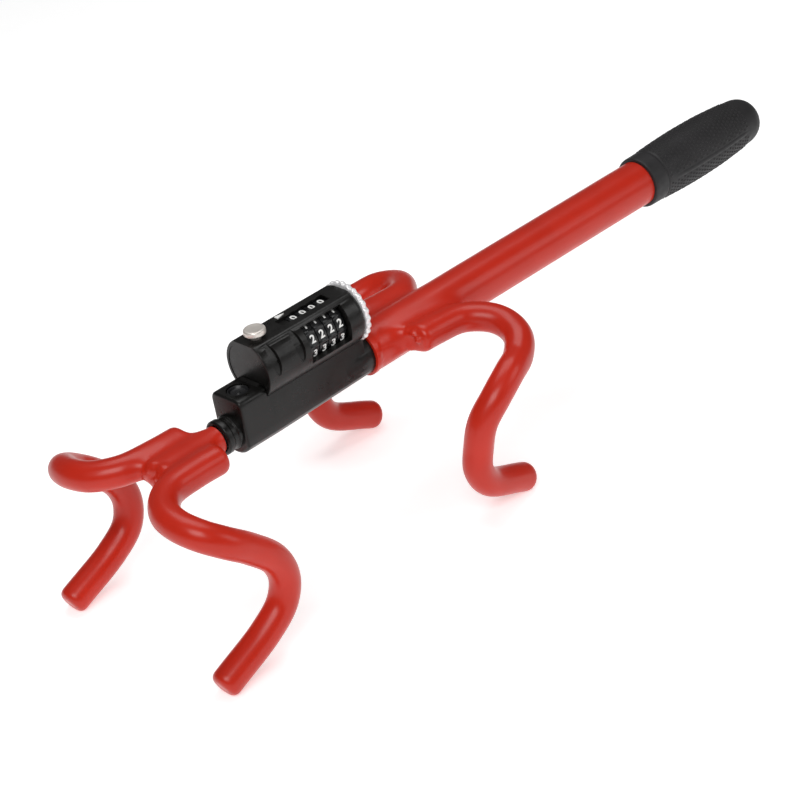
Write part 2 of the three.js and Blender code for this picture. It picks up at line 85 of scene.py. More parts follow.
def bar_box(node):
    """A CAD node's box in bar millimetres."""
    low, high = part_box(node)
    return (low - ORIGIN) / MM, (high - ORIGIN) / MM


# ---- Materials ----

def principled(
    name, colour, roughness, metallic=0.0, coat=0.0, coat_roughness=0.1, specular=0.5,
):
    material = bpy.data.materials.new(name)
    material.use_nodes = True
    shader = material.node_tree.nodes["Principled BSDF"]
    shader.inputs["Base Color"].default_value = (*colour, 1)
    shader.inputs["Roughness"].default_value = roughness
    shader.inputs["Metallic"].default_value = metallic
    shader.inputs["Coat Weight"].default_value = coat
    shader.inputs["Coat Roughness"].default_value = coat_roughness
    shader.inputs["Specular IOR Level"].default_value = specular
    return material, shader


def noise_node(tree, scale, detail=3.0, stretch=(1, 1, 1)):
    """Noise over the object's own coordinates. A larger scale gives a finer grain."""
    coordinates = tree.nodes.new("ShaderNodeTexCoord")
    mapping = tree.nodes.new("ShaderNodeMapping")
    mapping.inputs["Scale"].default_value = stretch
    noise = tree.nodes.new("ShaderNodeTexNoise")
    noise.inputs["Scale"].default_value = scale
    noise.inputs["Detail"].default_value = detail
    tree.links.new(coordinates.outputs["Object"], mapping.inputs["Vector"])
    tree.links.new(mapping.outputs["Vector"], noise.inputs["Vector"])
    return noise


def ramp_node(tree, source, stops):
    ramp = tree.nodes.new("ShaderNodeValToRGB")
    elements = ramp.color_ramp.elements
    while len(elements) < len(stops):
        elements.new(0.5)
    for element, (position, colour) in zip(elements, stops):
        element.position = position
        element.color = (*colour, 1)
    tree.links.new(source, ramp.inputs["Fac"])
    return ramp


def varied_material(
    name, colour, roughness, *, vary=0.12, colour_scale=60, rough_vary=0.06, rough_scale=180,
    bump=0.0, bump_scale=900, stretch=(1, 1, 1), **shader_values,
):
    """A finish whose colour, roughness and surface all change slightly over the piece."""
    material, shader = principled(name, colour, roughness, **shader_values)
    tree = material.node_tree
    dark = [c * (1 - vary) for c in colour]
    light = [min(1.0, c * (1 + vary)) for c in colour]
    tint = ramp_node(tree, noise_node(tree, colour_scale).outputs["Fac"], [(0.3, dark), (0.7, light)])
    tree.links.new(tint.outputs["Color"], shader.inputs["Base Color"])
    low, high = roughness - rough_vary, roughness + rough_vary
    wear = ramp_node(
        tree, noise_node(tree, rough_scale, 5, stretch).outputs["Fac"],
        [(0.3, [low] * 3), (0.7, [high] * 3)],
    )
    tree.links.new(wear.outputs["Color"], shader.inputs["Roughness"])
    if bump:
        grain = tree.nodes.new("ShaderNodeBump")
        grain.inputs["Strength"].default_value = bump
        grain.inputs["Distance"].default_value = 0.0002
        height = noise_node(tree, bump_scale, 2, stretch).outputs["Fac"]
        tree.links.new(height, grain.inputs["Height"])
        tree.links.new(grain.outputs["Normal"], shader.inputs["Normal"])
    return material


RED = (0.52, 0.020, 0.007)
M_VINYL = varied_material(
    "red_dip_coating", RED, 0.34, vary=0.07, colour_scale=25, rough_vary=0.05, rough_scale=70,
    bump=0.10, bump_scale=110, coat=0.12, coat_roughness=0.2, specular=0.3,
)
M_BLACK = varied_material(
    "black_casting_paint", (0.006, 0.0056, 0.0052), 0.32, vary=0.25, colour_scale=90,
    bump=0.12, bump_scale=1600, specular=0.3,
)
M_PLASTIC = varied_material(
    "black_moulding", (0.008, 0.008, 0.009), 0.42, vary=0.2, bump=0.08, bump_scale=2200,
)
M_DIAL = varied_material(
    "black_dial", (0.007, 0.007, 0.008), 0.28, vary=0.2, bump=0.05, bump_scale=1500,
)
M_RUBBER = varied_material(
    "black_rubber", (0.014, 0.013, 0.014), 0.56, vary=0.2, colour_scale=45, rough_vary=0.08,
    bump=0.25, bump_scale=2500, specular=0.4,
)
M_STEEL = varied_material(
    "turned_steel", (0.42, 0.42, 0.43), 0.30, vary=0.1, rough_vary=0.1, rough_scale=500,
    bump=0.15, bump_scale=1400, stretch=(8, 1, 1), metallic=1.0,
)
M_CHROME = varied_material(
    "chrome", (0.74, 0.69, 0.64), 0.36, vary=0.04, rough_vary=0.05, rough_scale=400,
    bump=0.04, metallic=0.55,
)
M_RING = varied_material(
    "bright_ring", (0.90, 0.89, 0.90), 0.32, vary=0.04, rough_vary=0.05, bump=0.04, metallic=0.35,
)
M_BRASS = varied_material(
    "turned_brass", (0.55, 0.38, 0.14), 0.32, rough_vary=0.08, bump=0.1, stretch=(8, 1, 1),
    metallic=1.0,
)
M_NYLON = varied_material("natural_nylon", (0.62, 0.60, 0.55), 0.5, vary=0.06, bump=0.08)
M_WHITE = varied_material(
    "white_mark", (0.86, 0.86, 0.84), 0.45, vary=0.04, rough_vary=0.08, bump=0.08, bump_scale=3000,
)
SLOT_MATERIALS = {
    "red_paint": M_VINYL, "red_vinyl": M_VINYL, "black_paint": M_BLACK, "black_plastic": M_PLASTIC,
    "dial_black": M_DIAL, "rubber": M_RUBBER, "steel": M_STEEL, "chrome": M_CHROME,
    "brass": M_BRASS, "nylon": M_NYLON, "white_mark": M_WHITE,
}


# ---- Mesh helpers ----

SMALLEST_RADIUS = 0.01  # closes a turned outline at its axis

def new_object(name, vertices, faces, material, smooth_angle=math.radians(35)):
    """Vertices are in bar millimetres. Edges sharper than smooth_angle stay sharp."""
    mesh = bpy.data.meshes.new(name)
    mesh.from_pydata([place(*v) for v in vertices], [], faces)
    mesh.validate()
    work = bmesh.new()
    work.from_mesh(mesh)
    bmesh.ops.recalc_face_normals(work, faces=work.faces)
    work.to_mesh(mesh)
    work.free()
    mesh.materials.append(material)
    thing = bpy.data.objects.new(name, mesh)
    bpy.context.scene.collection.objects.link(thing)
    shade(thing, smooth_angle)
    return thing


def shade(thing, smooth_angle=math.radians(35)):
    mesh = thing.data
    mesh.polygons.foreach_set("use_smooth", [True] * len(mesh.polygons))
    mesh.set_sharp_from_angle(angle=smooth_angle)


def apply_modifiers(thing):
    """Replaces the mesh by its modified form, so that no modifier is left on the piece."""
    graph = bpy.context.evaluated_depsgraph_get()
    old = thing.data
    thing.data = bpy.data.meshes.new_from_object(thing.evaluated_get(graph))
    thing.modifiers.clear()
    bpy.data.meshes.remove(old)


def fit(thing, body, slot, *nodes):
    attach(thing, body)
    if nodes:
        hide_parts(*nodes)
    return thing


def rings_mesh(rings):
    """Vertices and faces for rings of equally many points, joined up and closed at both ends."""
    count = len(rings[0])
    vertices = [point for ring in rings for point in ring]
    faces = []
    for i in range(len(rings) - 1):
        for j in range(count):
            k = (j + 1) % count
            faces.append((i * count + j, i * count + k, (i + 1) * count + k, (i + 1) * count + j))
    faces.append(tuple(range(count)))
    last = (len(rings) - 1) * count
    faces.append(tuple(range(last, last + count)))
    return vertices, faces


def circle(radius, segments):
    angles = [2 * math.pi * i / segments for i in range(segments)]
    return [(radius * math.cos(angle), radius * math.sin(angle)) for angle in angles]


def turned(name, outline, material, axis_z=0, segments=96):
    """Turned about a line along X at height axis_z. The outline is (x, radius) pairs."""
    rings = [[(x, y, axis_z + z) for y, z in circle(max(r, SMALLEST_RADIUS), segments)]
             for x, r in outline]
    return new_object(name, *rings_mesh(rings), material)


def turned_upright(name, outline, material, axis_x, segments):
    """Turned about an upright line at axis_x. The outline is (z, radius) pairs."""
    rings = [[(axis_x + x, y, z) for x, y in circle(max(r, SMALLEST_RADIUS), segments)]
             for z, r in outline]
    return new_object(name, *rings_mesh(rings), material)


def rounded(outline, radius, steps=4):
    """Rounds every corner between the two ends of an outline of pairs."""
    result = [outline[0]]
    for before, corner, after in zip(outline, outline[1:], outline[2:]):
        a, b, c = Vector(before), Vector(corner), Vector(after)
        reach = min(radius, (a - b).length * 0.45, (c - b).length * 0.45)
        start, end = b + (a - b).normalized() * reach, b + (c - b).normalized() * reach
        for i in range(steps + 1):
            t = i / steps
            result.append(tuple(start.lerp(b, t).lerp(b.lerp(end, t), t)))
    result.append(outline[-1])
    return result


def boolean(thing, cutter, operation="DIFFERENCE"):
    """Combines the two and removes the second."""
    modifier = thing.modifiers.new("boolean", "BOOLEAN")
    modifier.operation = operation
    modifier.solver = "EXACT"
    modifier.object = cutter
    apply_modifiers(thing)
    bpy.data.objects.remove(cutter)


def bevelled(thing, width, segments=2, angle=math.radians(32)):
    modifier = thing.modifiers.new("bevel", "BEVEL")
    modifier.width = width * MM
    modifier.segments = segments
    modifier.limit_method = "ANGLE"
    modifier.angle_limit = angle
    modifier.harden_normals = False
    apply_modifiers(thing)
    shade(thing, math.radians(40))


def block(name, low, high):
    x0, y0, z0 = low
    x1, y1, z1 = high
    rings = [[(x, y0, z0), (x, y1, z0), (x, y1, z1), (x, y0, z1)] for x in (x0, x1)]
    return new_object(name, *rings_mesh(rings), M_BLACK)


def arc_block(name, front, rear, inner, outer, start, end, steps=40):
    """A block between two radii about the dial axis, on the near side; angles in degrees."""
    section = []
    for radius, first, last in ((outer, start, end), (inner, end, start)):
        for i in range(steps + 1):
            angle = math.radians(first + (last - first) * i / steps)
            section.append((-radius * math.sin(angle), DIAL_Z + radius * math.cos(angle)))
    rings = [[(x, y, z) for y, z in section] for x in (front, rear)]
    return new_object(name, *rings_mesh(rings), M_BLACK)


# ---- Hooks, rod coating and tube: one dipped skin each ----

HOOK_RADIUS = 9.7
FOOT_REACH, ROOT_REACH = HOOK_RADIUS - 2.2, 2.0  # how far the skin goes past a route's ends
END_ROUNDING, END_ZONE = 5.5, 26
FLOOR_Z = -ORIGIN.z / MM
FRONT_ROUTE = [
    (-74.6, 18.8, 0.5), (-94.3, 18.9, 1), (-117.5, 22.3, 1.2), (-131.6, 35.6, 0),
    (-135, 50.2, -1.4), (-131.2, 65.6, -5.2), (-120.8, 73.6, -13.2), (-106.2, 75.4, -25.2),
    (-91.2, 76.4, -41.4), (-86.8, 76, -57.4), (-91.9, 75.2, -72.7), (-107.9, 75, -84.9),
    (-139.5, 75, -99),
]
REAR_ROUTE = [
    (87.3, 26.8, 4.1), (102.6, 26.6, 3.2), (124, 28.9, 1.8), (137, 41.6, -0.8), (140, 53.8, -4.2),
    (135.4, 66.6, -8), (124.5, 75.4, -13), (108.7, 82.4, -14.8), (92.7, 84.6, -23.5),
    (81.4, 81.4, -37.4), (77.6, 77.8, -55.8), (76.1, 76.3, -70.2), (83.3, 75.3, -84),
    (113.7, 72.8, -99),
]


def smooth_route(route, per_span=10):
    """A centripetal Catmull-Rom curve through the route's points."""
    points = np.array(route, float)
    first, last = 2 * points[0] - points[1], 2 * points[-1] - points[-2]
    padded = np.vstack([first, points, last])
    result = []
    for p0, p1, p2, p3 in zip(padded, padded[1:], padded[2:], padded[3:]):
        d0, d1, d2 = (np.linalg.norm(b - a) ** 0.5 for a, b in ((p0, p1), (p1, p2), (p2, p3)))
        t1 = ((p1 - p0) / d0 - (p2 - p0) / (d0 + d1) + (p2 - p1) / d1) * d1
        t2 = ((p2 - p1) / d1 - (p3 - p1) / (d1 + d2) + (p3 - p2) / d2) * d1
        for w in np.linspace(0, 1, per_span, endpoint=False):
            result.append(p1 + t1 * w + (3 * (p2 - p1) - 2 * t1 - t2) * w ** 2
                          + (2 * (p1 - p2) + t1 + t2) * w ** 3)
    result.append(points[-1])
    return np.array(result)


def unit(vector):
    return vector / np.linalg.norm(vector)


def mirrored(points):
    return points * (1, -1, 1)


def distance_to_path(points, path):
    best = np.full(len(points), 1e9)
    for a, b in zip(path, path[1:]):
        along = b - a
        t = np.clip((points - a) @ along / (along @ along), 0, 1)
        best = np.minimum(best, np.linalg.norm(points - a - t[:, None] * along, axis=1))
    return best


def smooth_min(a, b, width):
    """The smaller of two distances, with a fillet about as broad as width where they meet."""
    blend = np.maximum(width - np.abs(a - b), 0) / width
    return np.minimum(a, b) - blend ** 2 * width / 4


def smooth_max(a, b, width):
    return -smooth_min(-a, -b, width)


def hook_field(points, path):
    """Distance to a hook's skin, with its foot and root cut nearly flat and nothing below the floor."""
    extended = np.vstack([2 * path[0] - path[1] - 8 * unit(path[1] - path[0]), path,
                          path[-1] + 8 * unit(path[-1] - path[-2])])
    field = distance_to_path(points, extended) - HOOK_RADIUS
    for end, inner, reach in ((path[-1], path[-2], FOOT_REACH), (path[0], path[1], ROOT_REACH)):
        cut = (points - end) @ unit(end - inner) - reach
        near = np.linalg.norm(points - end, axis=1) < END_ZONE
        field = np.where(near, smooth_max(field, cut, END_ROUNDING), field)
    return smooth_max(field, FLOOR_Z - points[:, 2], 1.0)


def dipped(name, base_parts, field, voxel):
    """A union of rough parts whose vertices are then pulled onto the zero of a distance field."""
    rough = base_parts[0]
    for part in base_parts[1:]:
        work = bmesh.new()
        work.from_mesh(rough.data)
        work.from_mesh(part.data)
        work.to_mesh(rough.data)
        work.free()
        bpy.data.objects.remove(part)
    rough.name = name
    modifier = rough.modifiers.new("remesh", "REMESH")
    modifier.mode = "VOXEL"
    modifier.voxel_size = voxel * MM
    apply_modifiers(rough)
    for _ in range(3):
        smoothing = rough.modifiers.new("smooth", "SMOOTH")
        smoothing.factor = 0.5
        smoothing.iterations = 3
        apply_modifiers(rough)
        settle(rough, field)
    shade(rough, math.radians(50))
    return rough


def settle(thing, field, rounds=3, step=0.05):
    """Moves each vertex down the field's slope to where the field is zero."""
    mesh = thing.data
    flat = np.empty(len(mesh.vertices) * 3)
    mesh.vertices.foreach_get("co", flat)
    points = (flat.reshape(-1, 3) - np.array(ORIGIN)) / MM
    for _ in range(rounds):
        value = field(points)
        slope = np.stack([field(points + step * axis) - value for axis in np.eye(3)], axis=1) / step
        length = np.maximum((slope ** 2).sum(axis=1), 0.2)
        move = np.clip(value, -1.5, 1.5)[:, None] * slope / length[:, None]
        points -= move
    mesh.vertices.foreach_set("co", (points * MM + np.array(ORIGIN)).ravel())
    mesh.update()


def rough_tube(path, radius, sides=14):
    """A plain swept tube, only used as the start of a dipped skin."""
    path = np.array(path, float)
    path = np.vstack([path[0] - unit(path[1] - path[0]) * radius * 0.5, path,
                      path[-1] + unit(path[-1] - path[-2]) * radius * 0.8])
    rings = []
    across = unit(np.cross(path[1] - path[0], (0.1, 0.2, 1)))
    for i, centre in enumerate(path):
        along = unit(path[min(i + 1, len(path) - 1)] - path[max(i - 1, 0)])
        across = unit(across - along * (across @ along))
        other = np.cross(along, across)
        rings.append([tuple(centre + across * a + other * b) for a, b in circle(radius, sides)])
    return new_object("rough", *rings_mesh(rings), M_VINYL)


def trimmed(thing, x, keep_above):
    """Cuts a closed mesh flat at a bar station and keeps one side of it."""
    work = bmesh.new()
    work.from_mesh(thing.data)
    cut = bmesh.ops.bisect_plane(
        work, geom=work.verts[:] + work.edges[:] + work.faces[:], plane_co=place(x, 0, 0),
        plane_no=(1, 0, 0), clear_inner=keep_above, clear_outer=not keep_above,
    )
    rim = [e for e in cut["geom_cut"] if isinstance(e, bmesh.types.BMEdge)]
    bmesh.ops.holes_fill(work, edges=rim, sides=0)
    bmesh.ops.recalc_face_normals(work, faces=work.faces)
    work.to_mesh(thing.data)
    work.free()
    shade(thing, math.radians(50))


def lump_field(points, field, lumps, width):
    """Adds small balls to a field, as the coating's runs over the welds."""
    for centre, radius in lumps:
        field = smooth_min(field, np.linalg.norm(points - np.array(centre), axis=1) - radius, width)
    return field


COAT_FRONT, COAT_REAR = -110.5, bar_box("rod_vinyl_sleeve")[1].x
COAT_RADIUS = 9.0
TUBE_REAR = bar_box("main_tube")[1].x
LIP_HEIGHT, LIP_REAR, LIP_SLOPE = 0.55, 64.5, 1.5
FRONT_LUMPS = [
    ((-108.8, 2.4, 4.6), 3.6), ((-107.0, -6.0, 4.8), 3.0), ((-110.6, -5.4, -1.6), 3.6),
    ((-109.0, 6.0, -1.0), 4.4), ((-107.5, 0.0, -4.5), 5.4), ((-111.0, -8.6, -5.6), 2.4),
]


def front_skin():
    left = smooth_route(FRONT_ROUTE)
    right = mirrored(left)
    bar = np.array([(COAT_FRONT + COAT_RADIUS - 3, 0, 0), (COAT_REAR + 12, 0, 0)])

    def field(points):
        hooks = np.minimum(hook_field(points, left), hook_field(points, right))
        core = distance_to_path(points, bar) - COAT_RADIUS
        core = smooth_max(core, COAT_FRONT - points[:, 0], 5)
        return lump_field(points, smooth_min(hooks, core, 12.0), FRONT_LUMPS, 3.2)

    parts = [rough_tube(left, HOOK_RADIUS), rough_tube(right, HOOK_RADIUS),
             rough_tube(bar, COAT_RADIUS)]
    skin = dipped("front_hooks_and_coating", parts, field, voxel=1.25)
    trimmed(skin, COAT_REAR, keep_above=False)
    fit(skin, "sliding_rod", "red_vinyl", "rod_vinyl_sleeve", "front_hook_left", "front_hook_right",
        "front_weld_left", "front_weld_right")


REAR_LUMPS = [
    ((85.5, 20.6, 7.6), 2.2), ((84.6, 25.2, 8.6), 1.9), ((84.0, 29.5, 5.5), 2.0),
    ((85.0, 20.0, -2.0), 2.4),
]


def rear_skin():
    left = smooth_route(REAR_ROUTE)
    right = mirrored(left)
    bar = np.array([(TUBE_FRONT - 20, 0, 0), (TUBE_REAR + 20, 0, 0)])
    lumps = REAR_LUMPS + [((x, -y, z), r) for (x, y, z), r in REAR_LUMPS]

    def field(points):
        hooks = np.minimum(hook_field(points, left), hook_field(points, right))
        lip = LIP_HEIGHT * np.clip((LIP_REAR - points[:, 0]) / LIP_SLOPE, 0, 1)
        core = np.hypot(points[:, 1], points[:, 2]) - TUBE_RADIUS - lip
        return lump_field(points, smooth_min(hooks, core, 14.0), lumps, 2.0)

    parts = [rough_tube(left, HOOK_RADIUS), rough_tube(right, HOOK_RADIUS),
             rough_tube(bar, TUBE_RADIUS, 24)]
    skin = dipped("tube_and_rear_hooks", parts, field, voxel=1.4)
    trimmed(skin, TUBE_FRONT, keep_above=True)
    trimmed(skin, TUBE_REAR, keep_above=False)
    fit(skin, "lock_frame", "red_paint", "main_tube", "rear_hook_left", "rear_hook_right",
        "rear_weld_left", "rear_weld_right")


# ---- Rubber grip ----

GRIP_STATIONS = [327.5, 341.5, 354.5, 366, 377.5, 392, 406, 417.8, 431.8, 439.8, 444.8]
GRIP_RADII = [18.2, 18.35, 19.05, 19.5, 19.7, 19.6, 19.2, 18.3, 17.3, 16.5, 14.7]
GRIP_FRONT = bar_box("rubber_grip")[0].x
GRIP_REAR = bar_box("rubber_grip")[1].x - 2.0
GRIP_BORE = 16.2
COLLAR_LENGTH = 12.6
SHOULDER = GRIP_FRONT + COLLAR_LENGTH
DOME_START, DOME_STEPS, DOME_BLUNTNESS = 435.0, 16, 0.68
RIB_ANGLES = (0.0, 180.0)  # degrees from +Y towards +Z
RIB_CLEARANCE = 9.0  # degrees without dots on each side of a rib


def grip_radius(x):
    """The grip's radius at a bar station, smoothed over 12 mm."""
    near = [min(max(x + shift, 327.5), 441) for shift in (-6, -3, 0, 3, 6)]
    return float(sum(np.interp(near, GRIP_STATIONS, GRIP_RADII))) / len(near)


def rubber_grip():
    mouth = grip_radius(GRIP_FRONT)
    outline = [(GRIP_FRONT, GRIP_BORE), (GRIP_FRONT, mouth - 0.9), (GRIP_FRONT + 0.35, mouth - 0.25),
               (GRIP_FRONT + 1.0, mouth)]
    outline += [(x, grip_radius(x) + 0.1) for x in np.arange(GRIP_FRONT + 2, SHOULDER, 1.0)]
    for x, step in ((SHOULDER + 0.3, -0.3), (SHOULDER + 0.9, -0.45), (SHOULDER + 1.6, 0.0)):
        outline.append((x, grip_radius(x) + step))
    outline += [(x, grip_radius(x)) for x in np.arange(SHOULDER + 3, DOME_START, 2.0)]
    for i in range(1, DOME_STEPS + 1):
        angle = math.pi / 2 * i / DOME_STEPS
        outline.append((DOME_START + (GRIP_REAR - DOME_START) * math.sin(angle),
                        grip_radius(DOME_START) * math.cos(angle) ** DOME_BLUNTNESS))
    grip = turned("rubber_grip_skin", outline, M_RUBBER)
    fit(grip, "lock_frame", "rubber", "rubber_grip")
    fit(grip_dots(SHOULDER + 4.0, DOME_START - 5.0), "lock_frame", "rubber")
    fit(grip_ribs(SHOULDER + 3.0, DOME_START - 1.0), "lock_frame", "rubber")


def grip_dots(front, rear, pitch=3.1, columns=38):
    """Staggered rows of small domes that stand out of the rubber, except along the ribs."""
    vertices, faces = [], []
    for row in range(int((rear - front) / pitch) + 1):
        x = front + row * pitch
        for column in range(columns):
            angle = 2 * math.pi * (column + 0.5 * (row % 2)) / columns
            from_ribs = [abs((math.degrees(angle) - rib + 180) % 360 - 180) for rib in RIB_ANGLES]
            if min(from_ribs) >= RIB_CLEARANCE:
                add_dome(vertices, faces, x, angle, grip_radius(x))
    return new_object("grip_dots", vertices, faces, M_RUBBER, smooth_angle=math.radians(80))


def add_dome(vertices, faces, x, angle, radius, size=1.0, height=0.6, sides=8):
    outward = Vector((0, math.cos(angle), math.sin(angle)))
    across = Vector((0, -math.sin(angle), math.cos(angle)))
    start = len(vertices)
    for reach, lift in ((1.0, -0.25), (0.85, 0.3), (0.45, 0.9)):
        for c, s in circle(size * reach, sides):
            vertices.append(tuple(Vector((x, 0, 0)) + outward * (radius + height * lift)
                                  + across * c + Vector((s, 0, 0))))
    for ring in range(2):
        for j in range(sides):
            a, b = start + ring * sides + j, start + ring * sides + (j + 1) % sides
            faces.append((a, b, b + sides, a + sides))
    faces.append(tuple(range(start + 2 * sides, start + 3 * sides)))
    faces.append(tuple(reversed(range(start, start + sides))))


def grip_ribs(front, rear):
    """Two smooth ribs, one down each side, between the dotted panels."""
    vertices, faces = [], []
    stations = np.linspace(front, rear, 40)
    for degrees in RIB_ANGLES:
        angle = math.radians(degrees)
        rings = []
        for i, x in enumerate(stations):
            taper = min(1.0, 6 * min(i, len(stations) - 1 - i) / len(stations) + 0.15)
            radius = grip_radius(x)
            polar = [(angle + t * 0.11, radius + 0.75 * taper * (1 - t * t) - 0.3)
                     for t in np.linspace(-1, 1, 9)]
            polar += [(angle + 0.1, radius - 1.2), (angle - 0.1, radius - 1.2)]
            rings.append([(x, r * math.cos(a), r * math.sin(a)) for a, r in polar])
        new_vertices, new_faces = rings_mesh(rings)
        offset = len(vertices)
        vertices += new_vertices
        faces += [tuple(v + offset for v in face) for face in new_faces]
    return new_object("grip_ribs", vertices, faces, M_RUBBER)


# ---- Lock body, ferrule and ledge ----

def body_section():
    """The section at full size as Y-Z pairs: a round belly, flat sides and rounded shoulders."""
    half = BODY_HALF_WIDTH
    spread = math.acos(half / BODY_BELLY_RADIUS)
    angles = [math.pi + spread + (math.pi - 2 * spread) * i / 48 for i in range(49)]
    belly = [(BODY_BELLY_RADIUS * math.cos(a), BODY_BELLY_RADIUS * math.sin(a)) for a in angles]
    return belly + rounded([(half, -2), (half, BODY_TOP), (-half, BODY_TOP), (-half, -2)], 5.2, 8)


def lock_body():
    section, edge = body_section(), 2.0
    stations = [(BODY_FRONT + edge * (1 - math.sin(a)), edge * (1 - math.cos(a)))
                for a in np.linspace(math.pi / 2, 0, 6)]
    stations += [(x, 0.0) for x in np.linspace(-45, BODY_REAR, 30)]
    rings = []
    for x, inset in stations:
        progress = min(max((x - BODY_TAPER_FROM) / (BODY_REAR - BODY_TAPER_FROM), 0), 1)
        scale = 1 - (1 - NECK_RADIUS / BODY_BELLY_RADIUS) * progress
        rings.append([inset_point(x, y * scale, z * scale, inset) for y, z in section])
    body = new_object("lock_body_casting", *rings_mesh(rings), M_BLACK)
    neck = [(30, 12.2), (48, NECK_RADIUS), (NECK_REAR, NECK_RADIUS), (NECK_REAR, SPIGOT_RADIUS),
            (SPIGOT_REAR, SPIGOT_RADIUS)]
    boolean(body, turned("neck", neck, M_BLACK), "UNION")
    cradle, relief = HOUSING_RADIUS + 0.15, HOUSING_RADIUS + 1.4
    cradle_front = bar_box("dial_housing")[0].x - 0.3
    boolean(body, turned("cradle", [(cradle_front, cradle), (BODY_REAR + 10, cradle)], M_BLACK,
                         DIAL_Z, segments=128))
    boolean(body, turned("relief", [(BODY_REAR, relief), (58.1, relief)], M_BLACK, DIAL_Z))
    foot = [(-30.2, 23.5), (-27.8, 25.3), (-26.5, 23.5)]
    wedge = [[(x, y, z) for x, z in foot] for y in (-8.6, 8.6)]
    boolean(body, new_object("wedge", *rings_mesh(wedge), M_BLACK), "UNION")
    recess = [(LEDGE_RECESS_FLOOR, LEDGE_RECESS_RADIUS), (26, LEDGE_RECESS_RADIUS)]
    boolean(body, turned_upright("recess", recess, M_BLACK, LEDGE_X, 64))
    bevelled(body, 0.45, 3)
    fit(body, "lock_frame", "black_paint", "lock_body")


def inset_point(x, y, z, inset):
    """Moves a section point towards the section's middle, to round the front edge."""
    middle = 4.0
    reach = math.hypot(y, z - middle)
    factor = (reach - inset) / reach
    return (x, y * factor, middle + (z - middle) * factor)


def ferrule():
    """A ring round the rod with a rounded collar, a groove and a plain tail inside the casting."""
    low, high = bar_box("guide_ferrule")
    front, radius, tail_end = low.x, high.y, -40
    outline = [(tail_end, 9.0), (front + 0.1, 9.2), (front, radius - 1.1), (front + 1.0, radius),
               (front + 4.6, radius), (front + 5.4, radius - 1.0), (front + 8.4, radius - 1.0),
               (front + 9.0, radius - 0.2), (front + 11.2, radius - 0.2), (tail_end, radius - 0.2)]
    piece = turned("guide_ferrule_skin", rounded(outline, 0.4), M_BLACK)
    fit(piece, "lock_frame", "black_paint", "guide_ferrule")


def ledge_plug():
    """A dished plug with a raised ring, sunk in the ledge."""
    outline = [(19.9, 0.02), (19.9, 6.9), (23.0, 6.9), (23.2, 6.1), (21.6, 5.2), (21.2, 1.6),
               (21.9, 0.9), (21.9, 0.02)]
    piece = turned_upright("ledge_plug_skin", rounded(outline, 0.35), M_PLASTIC, LEDGE_X, 72)
    fit(piece, "lock_frame", "black_plastic", "ledge_plug")


# ---- Dial head ----

def dial_housing():
    """A round shell with a flat top, open for the digits on top and on the near side."""
    low, high = bar_box("dial_housing")
    front, rear, radius, flat = low.x, high.x, HOUSING_RADIUS, high.z
    outline = [(front, 0.02), (front, radius), (rear - 2.2, radius), (rear, radius - 1.3), (rear, 0.02)]
    shell = turned("dial_housing_skin", rounded(outline, 0.9), M_BLACK, DIAL_Z, segments=160)
    boolean(shell, block("above", (front - 5, -30, flat), (rear + 5, 30, flat + 30)))
    cavity = [(CAVITY_FRONT, CAVITY_RADIUS), (CAVITY_REAR, CAVITY_RADIUS)]
    boolean(shell, turned("cavity", cavity, M_BLACK, DIAL_Z))
    boolean(shell, slot_cutter())
    boolean(shell, arc_block("window", WINDOW_FRONT, CAVITY_REAR, 12, 26, WINDOW_START, WINDOW_END))
    for x in (-19.4, 0.4):
        for side in (-1, 1):
            boolean(shell, groove_cutter(x, side))
    hole = [(30, KNOB_HOLE_RADIUS), (60, KNOB_HOLE_RADIUS)]
    boolean(shell, turned_upright("hole", hole, M_BLACK, KNOB_X, 48))
    disc = [(front - 1, radius - 2.5), (front + 0.35, radius - 2.5)]
    inset = turned("inset", disc, M_BLACK, DIAL_Z, segments=128)
    boolean(inset, block("above", (front - 5, -30, flat - 2.6), (rear, 30, flat + 30)))
    boolean(shell, inset)
    bevelled(shell, 0.4, 3, math.radians(38))
    fit(shell, "lock_frame", "black_paint", "dial_housing")


def slot_cutter():
    """The slot on top: shallow at its front end and open to the dials behind it."""
    front, rear, half = SLOT_FRONT, CAVITY_REAR, SLOT_HALF_WIDTH
    outline = rounded([(front, 0), (front, half), (rear, half), (rear, 0)], 1.2)
    outline += [(x, -y) for x, y in reversed(outline[1:-1])]
    rings = [[(x, y, z) for x, y in outline] for z in (47.4, 60)]
    shallow = new_object("slot", *rings_mesh(rings), M_BLACK)
    boolean(shallow, block("deep", (CAVITY_FRONT, -half, 40), (rear, half, 60)), "UNION")
    return shallow


def groove_cutter(x, side, width=6.6, depth=1.6):
    """A thumb groove: shallow at both ends, deepest in the middle."""
    rings = []
    for i in range(33):
        t = i / 32
        angle = math.radians(33 + 64 * t)
        floor = HOUSING_RADIUS - depth * math.sin(math.pi * t) ** 0.5
        above = HOUSING_RADIUS + 1.4
        half = width / 2 * max(0.5, math.sin(math.pi * t) ** 0.35)
        corners = [(x - half - 0.5, above), (x - half + 0.7, floor), (x + half - 0.7, floor),
                   (x + half + 0.5, above)]
        rings.append([(along, side * r * math.sin(angle), DIAL_Z + r * math.cos(angle))
                      for along, r in corners])
    return new_object("groove", *rings_mesh(rings), M_BLACK)


def index_arrow():
    """A white triangle, pointing back along the tube, set 0.25 mm into the housing."""
    low, high = bar_box("index_arrow")
    middle = (low.y + high.y) / 2
    corners = [(low.x, middle), (low.x, high.y), (high.x, middle), (low.x, low.y), (low.x, middle)]
    outline = rounded(corners, 0.35)[:-1]
    rings = [[(x, y, z) for x, y in outline] for z in (low.z - 0.25, high.z)]
    arrow = new_object("index_arrow_mark", *rings_mesh(rings), M_WHITE)
    fit(arrow, "lock_frame", "white_mark", "index_arrow")


